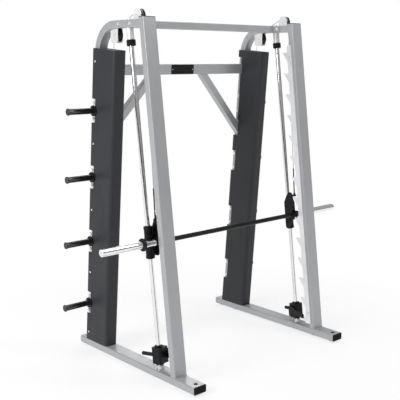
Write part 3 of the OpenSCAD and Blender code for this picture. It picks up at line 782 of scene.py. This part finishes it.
def make_collar(bm):
    m = Matrix.Translation((0, BAR.y, BAR.z)) @ XAX
    a, b = XC + 0.012, XC + 0.077
    prof = [(0.0151, a + 0.0003), (0.0207, a + 0.0003), (0.0215, a + 0.0012), (0.0215, a + 0.0112), (0.0207, a + 0.0120), (0.0201, a + 0.0126), (0.0200, a + 0.0140),
            (0.0200, b - 0.0170), (0.0201, b - 0.0146), (0.0207, b - 0.0140), (0.0215, b - 0.0132), (0.0215, b - 0.0010), (0.0207, b - 0.0002), (0.0151, b - 0.0002)]
    lathe(bm, prof, 72, m, closed=True)


for o in both(make_collar, "bar_collar", "chrome", ("bar", "bar"), smooth=28):
    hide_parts("bar_collars")


def make_disc(bm):
    m = Matrix.Translation((0, BAR.y, BAR.z)) @ XAX
    d = XC + 0.106
    prof = [(0.02003, d + 0.0002), (0.030, d), (0.0340, d), (0.0350, d + 0.0006), (0.0400, d + 0.0006), (0.0420, d + 0.0010), (0.0429, d + 0.0022), (0.0430, d + 0.0050),
            (0.0429, d + 0.0078), (0.0420, d + 0.0090), (0.0400, d + 0.0094), (0.0350, d + 0.0094), (0.0340, d + 0.0100), (0.030, d + 0.0100), (0.02003, d + 0.0098)]
    lathe(bm, prof, 96, m, closed=True)


for o, sd in zip(both(make_disc, "plate_stop_disc", "black_paint", ("sleeve_left", "sleeve_right"), smooth=28), ("right", "left")):
    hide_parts("sleeve_disc_" + sd)


def make_stop_sleeve(bm):
    m = MA @ Matrix.Translation((XC, 0, 0))
    prof = [(0.01507, 0.0270), (0.0268, 0.0270), (0.0277, 0.0278), (0.0280, 0.0290), (0.0280, 0.0345), (0.0274, 0.0357), (0.0241, 0.0360), (0.0240, 0.0364),
            (0.0240, 0.1458), (0.0241, 0.1461), (0.0274, 0.1463), (0.0280, 0.1474), (0.0280, 0.1512), (0.0276, 0.1525), (0.0256, 0.1555), (0.0240, 0.1560), (0.01507, 0.1560)]
    lathe(bm, prof, 72, m, closed=True)


for o, sd in zip(both(make_stop_sleeve, "stop_sleeve_turned", "black_paint", ("stop_left", "stop_right"), smooth=28), ("right", "left")):
    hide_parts("stop_sleeve_" + sd)


def make_grip(bm):
    m = MA @ Matrix.Translation((XC, 0, 0)) @ Matrix.Rotation(rad(-10), 4, "Z") @ Matrix.Translation((0.006, 0, 0.088)) @ Matrix.Rotation(rad(-90), 4, "X")
    prof = [(0, 0.0485), (0.0105, 0.0480), (0.0122, 0.0488), (0.0130, 0.0505), (0.0130, 0.0535), (0.0121, 0.0550)]
    z = 0.058
    while z < 0.132:
        prof += [(0.0119, z), (0.0127, z + 0.0012), (0.0127, z + 0.0032), (0.0119, z + 0.0044)]
        z += 0.0064
    prof += [(0.0121, 0.1350), (0.0129, 0.1365), (0.0129, 0.1400), (0.0115, 0.1438), (0.0080, 0.1459), (0, 0.1460)]
    lathe(bm, prof, 56, m)
    lathe(bm, [(0, 0.0290), (0.0070, 0.0290), (0.0070, 0.0484), (0, 0.0484)], 32, m)


for o, sd in zip(both(make_grip, "stop_grip_moulded", "grip", ("stop_hook_left", "stop_hook_right")), ("right", "left")):
    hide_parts("stop_grip_" + sd)


def make_foot(bm):
    for y in (-0.594, -0.423, 0.423, 0.594):
        m = Matrix.Translation((XC, y, 0))
        lathe(bm, [(0.0070, 0.0003), (0.0120, 0), (0.0245, 0), (0.0258, 0.0006), (0.0260, 0.0018), (0.0260, 0.0044), (0.0257, 0.0052), (0.0250, 0.0056), (0.0249, 0.0064),
                   (0.0228, 0.0108), (0.0222, 0.0118), (0.0070, 0.0119)], 56, m, closed=True)


for o in both(make_foot, "foot", "black_rubber", ("frame", "frame")):
    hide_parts("rubber_feet")


def make_grommet(bm):
    for y in (-0.594, 0.594):
        m = Matrix.Translation((XC, y, 0.062))
        lathe(bm, [(0.0066, -0.0010), (0.0066, 0.0014), (0.0074, 0.0022), (0.0110, 0.0022), (0.0132, 0.0014), (0.0138, 0.0002), (0.0138, 0.0001), (0.0074, 0.0001)], 48, m, closed=True)


both(make_grommet, "bolt_hole_grommet", "black_rubber", ("frame", "frame"))


def make_horn(bm):
    for z in HORN_Z:
        p = MB @ Vector((0, 0, z))
        m = Matrix.Translation((0, p.y, p.z)) @ XAX
        a, b = HX + 0.0102, 0.952
        lathe(bm, [(0, a), (0.021, a), (0.021, b - 0.0082), (0, b - 0.0082)], 64, m)


for o in both(make_horn, "horn_tube", "black_gloss", ("frame", "frame"), smooth=28):
    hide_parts("horn_tubes")


def make_horn_cap(bm):
    for z in HORN_Z:
        p = MB @ Vector((0, 0, z))
        m = Matrix.Translation((0, p.y, p.z)) @ XAX
        b = 0.952
        lathe(bm, [(0, b - 0.0081), (0.0236, b - 0.0081), (0.0243, b - 0.0075), (0.0245, b - 0.0060), (0.0245, b - 0.0030), (0.0241, b - 0.0012), (0.0228, b - 0.0002), (0.0215, b),
                   (0.0195, b - 0.0004), (0.0188, b - 0.0012), (0.0175, b - 0.0012), (0.0168, b - 0.0004), (0, b)], 64, m)


for o in both(make_horn_cap, "horn_cap", "dark_plastic", ("frame", "frame"), smooth=28):
    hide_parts("horn_end_caps")


def make_horn_flange(bm):
    for z in HORN_Z:
        p = MB @ Vector((0, 0, z))
        m = Matrix.Translation((0, p.y, p.z)) @ XAX
        a = HX + 0.016
        lathe(bm, [(0.02103, a), (0.0368, a), (0.0375, a + 0.0008), (0.0375, a + 0.0050), (0.0367, a + 0.0060), (0.0255, a + 0.0060), (0.0245, a + 0.0063), (0.0212, a + 0.0075), (0.02103, a + 0.0075)], 72, m, closed=True)


for o in both(make_horn_flange, "horn_flange", "black_paint", ("frame", "frame"), smooth=28):
    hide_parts("horn_flanges")


# ---------------------------------------------------------------- welds
def make_welds(bm):
    # rail and front upright
    c7 = math.cos(rad(7))
    y0 = (MA @ Vector((0, -0.2104, 0))).y + 0
    f = -0.243 - 0.2104 / c7
    g = -0.243 - 0.1604 / c7
    z = 0.062
    bead(bm, [Vector((XC - 0.050, f, z)), Vector((XC + 0.050, f, z)), Vector((XC + 0.050, g, z)), Vector((XC - 0.050, g, z))], 0.0032)
    # top tube against the upright
    def au(x, zz):
        # a point on the upright's rear face at height zz
        return Vector((x, -0.243 - 0.1604 / c7 + (zz - 0.062) * math.tan(rad(7)), zz))
    bead(bm, [au(XC - 0.035, 2.287), au(XC + 0.035, 2.287), au(XC + 0.035, 2.335), au(XC - 0.035, 2.335)], 0.0030, up=Vector((0.2, 1, 0.1)).normalized(), seed=1)
    # rear cross tube and brace against the rear upright
    q = [MB @ Vector((XC - 0.035, a, b)) for a, b in ((-0.025, 1.926), (-0.025, 2.001), (0.025, 2.001), (0.025, 1.926))]
    bead(bm, q, 0.0030, up=Vector((1, 0.1, 0.1)).normalized(), seed=2)
    k = math.tan(rad(47))
    h = 0.025 / math.sin(rad(47))
    x1 = XC - 0.035
    q = [MB @ Vector((x1, a, 1.926 - (x1 - 0.240 + s * h) * k)) for a, s in ((-0.025, -1), (-0.025, 1), (0.025, 1), (0.025, -1))]
    bead(bm, q, 0.0030, up=Vector((1, 0.1, 0.1)).normalized(), seed=3)
    q = [MB @ Vector((0.240 + s * h, a, 1.926)) for a, s in ((-0.025, -1), (-0.025, 1), (0.025, 1), (0.025, -1))]
    bead(bm, q, 0.0030, up=Vector((0.1, 0.1, 1)).normalized(), seed=4)
    # flange of the top cross tube
    x2 = XC - 0.041
    q = [Vector((x2, a, b)) for a, b in ((0.021, 2.287), (0.069, 2.287), (0.069, 2.335), (0.021, 2.335))]
    bead(bm, q, 0.0026, up=Vector((1, 0.1, 0.1)).normalized(), seed=5)
    # end of the rear upright's bend: no bead is drawn
    for a, b in ((2.286, -1),):
        pass


both(make_welds, "weld_beads", "silver_paint", ("frame", "frame"), smooth=60)


# ---------------------------------------------------------------- name plate screws
def make_plate_screws(bm):
    for x in (0.020 - 0.0955, 0.020 + 0.0955):
        m = MB @ Matrix.Translation((x, -0.0276, 1.9635)) @ Matrix.Rotation(rad(90), 4, "X")
        screw(bm, m, 0.0035, 0.0016, 0.0014)


bm = bmesh.new()
make_plate_screws(bm)
obj(bm, "plate_screws", "zinc", "frame")

# ---------------------------------------------------------------- floor
fm, ft, fp, ftc = new_mat("floor")
ft.links.new(ramp(ft, noise(ft, ftc, 0.8, 5, 0.5), [(0.3, (0.93, 0.93, 0.93)), (0.7, (0.95, 0.95, 0.95))]), fp.inputs["Base Color"])
fp.inputs["Roughness"].default_value = 0.9
fp.inputs["Specular IOR Level"].default_value = 0.1
f_len = ft.nodes.new("ShaderNodeVectorMath")
f_len.operation = "LENGTH"
ft.links.new(ftc.outputs["Object"], f_len.inputs[0])
f_map = ft.nodes.new("ShaderNodeMapRange")
f_map.interpolation_type = "SMOOTHSTEP"
f_map.inputs["To Min"].default_value = 0.72
f_map.inputs["From Min"].default_value = 0.9
f_map.inputs["From Max"].default_value = 2.6
ft.links.new(f_len.outputs["Value"], f_map.inputs["Value"])
f_em = ft.nodes.new("ShaderNodeEmission")
f_em.inputs["Color"].default_value = (1, 1, 1, 1)
f_em.inputs["Strength"].default_value = 1.0
f_mix = ft.nodes.new("ShaderNodeMixShader")
ft.links.new(f_map.outputs["Result"], f_mix.inputs[0])
ft.links.new(fp.outputs[0], f_mix.inputs[1])
ft.links.new(f_em.outputs[0], f_mix.inputs[2])
f_out = [n for n in ft.nodes if n.type == "OUTPUT_MATERIAL"][0]
ft.links.new(f_mix.outputs[0], f_out.inputs[0])
bm = bmesh.new()
bmesh.ops.create_circle(bm, cap_ends=True, segments=96, radius=40)
me = bpy.data.meshes.new("floor")
bm.to_mesh(me)
bm.free()
floor = bpy.data.objects.new("floor", me)
scene.collection.objects.link(floor)
floor.data.materials.append(fm)
